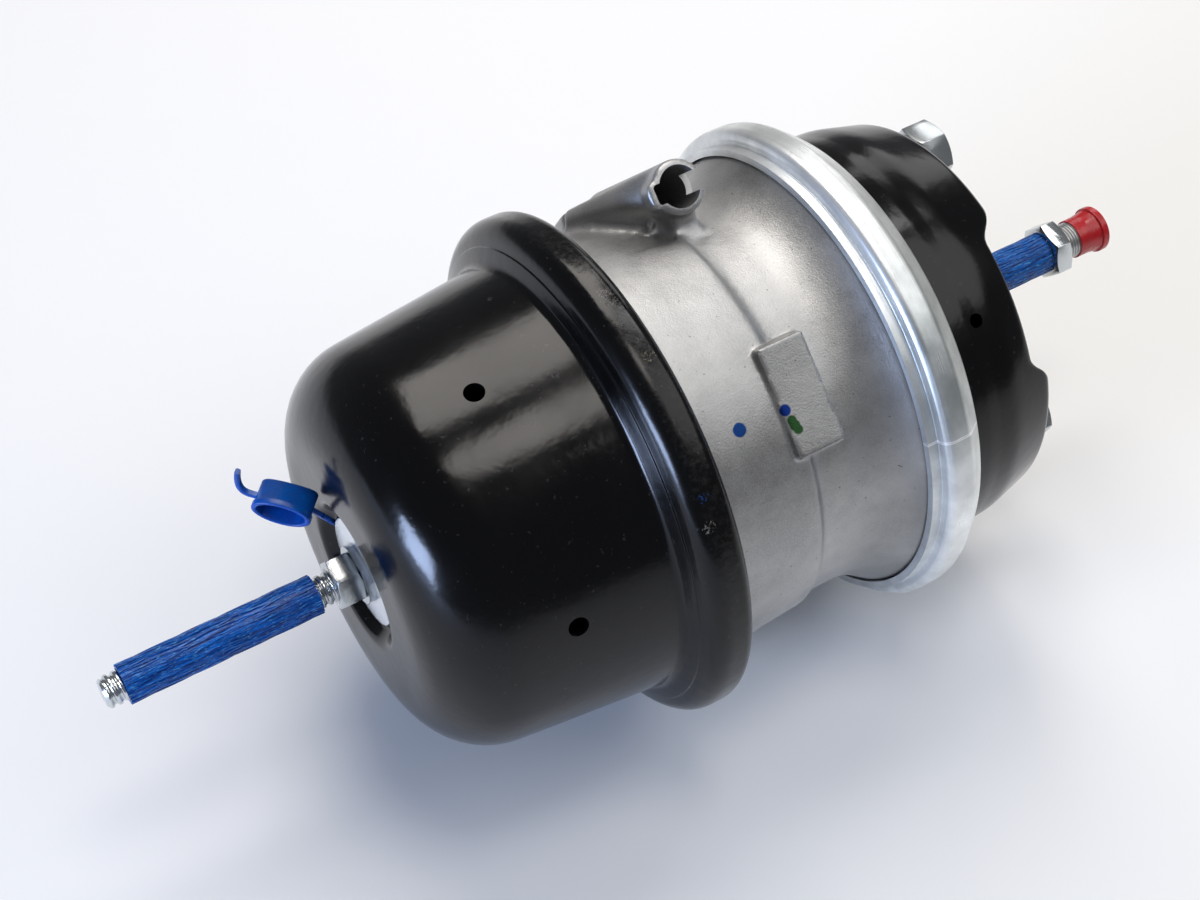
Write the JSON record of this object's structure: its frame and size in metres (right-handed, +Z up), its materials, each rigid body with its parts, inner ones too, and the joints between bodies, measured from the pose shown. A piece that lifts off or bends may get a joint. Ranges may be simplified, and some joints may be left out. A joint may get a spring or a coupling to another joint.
{
  "type": "air brake chamber",
  "caption": "Combination spring and service air brake chamber: two pressed housings on a cast flange case, a clamp ring, mounting studs, a push rod and a release bolt.",
  "frame": {"origin": "on the chamber's axis, in the plane of the two mounting pads", "axes": "+X along the axis toward the push rod's tip; +Z up with the chamber lying as pictured, so the stud line is 46.5 degrees from +Z toward +Y"},
  "size_m": [0.4694, 0.2124, 0.2146],
  "materials": {
    "black_paint": "gloss black paint on pressed steel",
    "cast_aluminium": "bare die-cast aluminium, satin",
    "zinc_ring": "zinc plated rolled steel, satin",
    "zinc_hardware": "bright zinc plated",
    "bare_steel": "machined steel, oiled",
    "spring_steel": "black coated spring wire",
    "diaphragm_rubber": "fabric reinforced rubber",
    "seal_rubber": "smooth rubber",
    "bushing_plastic": "moulded bearing plastic",
    "blue_mesh": "blue extruded protective netting",
    "blue_plastic": "moulded blue plastic",
    "red_plastic": "translucent red moulded plastic"
  },
  "bodies": {
    "chamber": {"spring_housing": "black_paint", "flange_case": "cast_aluminium", "service_housing": "black_paint", "clamp_ring": "zinc_ring", "mounting_studs": "zinc_hardware", "stud_nuts": "zinc_hardware", "center_bushing": "bushing_plastic", "center_seals": "seal_rubber", "service_diaphragm": "diaphragm_rubber", "spring_diaphragm": "diaphragm_rubber", "power_spring": "spring_steel", "service_return_spring": "spring_steel", "adapter_return_spring": "spring_steel", "end_plate": "zinc_hardware", "release_washer": "zinc_hardware", "release_bolt_sleeve": "blue_mesh", "dust_plug": "blue_plastic"},
    "parking_piston": {"pressure_plate": "cast_aluminium", "adapter_plate": "bare_steel", "adapter_push_rod": "bare_steel", "release_bolt": "zinc_hardware"},
    "push_rod_set": {"push_rod": "bare_steel", "push_plate": "bare_steel", "push_rod_sleeve": "blue_mesh", "push_rod_jam_nut": "zinc_hardware", "push_rod_cap": "red_plastic"},
    "release_nut_set": {"release_nut": "zinc_hardware"}
  },
  "joints": [
    {"name": "parking_piston_slide", "type": "slide", "parent": "chamber", "child": "parking_piston", "axis": [1, 0, 0], "range_m": [0, 0.0635], "deforming": ["power_spring", "adapter_return_spring", "spring_diaphragm"]},
    {"name": "push_rod_slide", "type": "slide", "parent": "chamber", "child": "push_rod_set", "axis": [1, 0, 0], "range_m": [0, 0.0635], "deforming": ["service_diaphragm", "service_return_spring"]},
    {"name": "release_nut_turn", "type": "hinge", "parent": "chamber", "child": "release_nut_set", "pos_m": [-0.276, 0, 0], "axis": [1, 0, 0], "range_deg": [-7200.5, 0]}
  ],
  "couplings": [
    {"joint": "push_rod_slide", "follows": "parking_piston_slide", "ratio": 1},
    {"joint": "release_nut_turn", "follows": "parking_piston_slide", "rad_per_m": -1979}
  ]
}
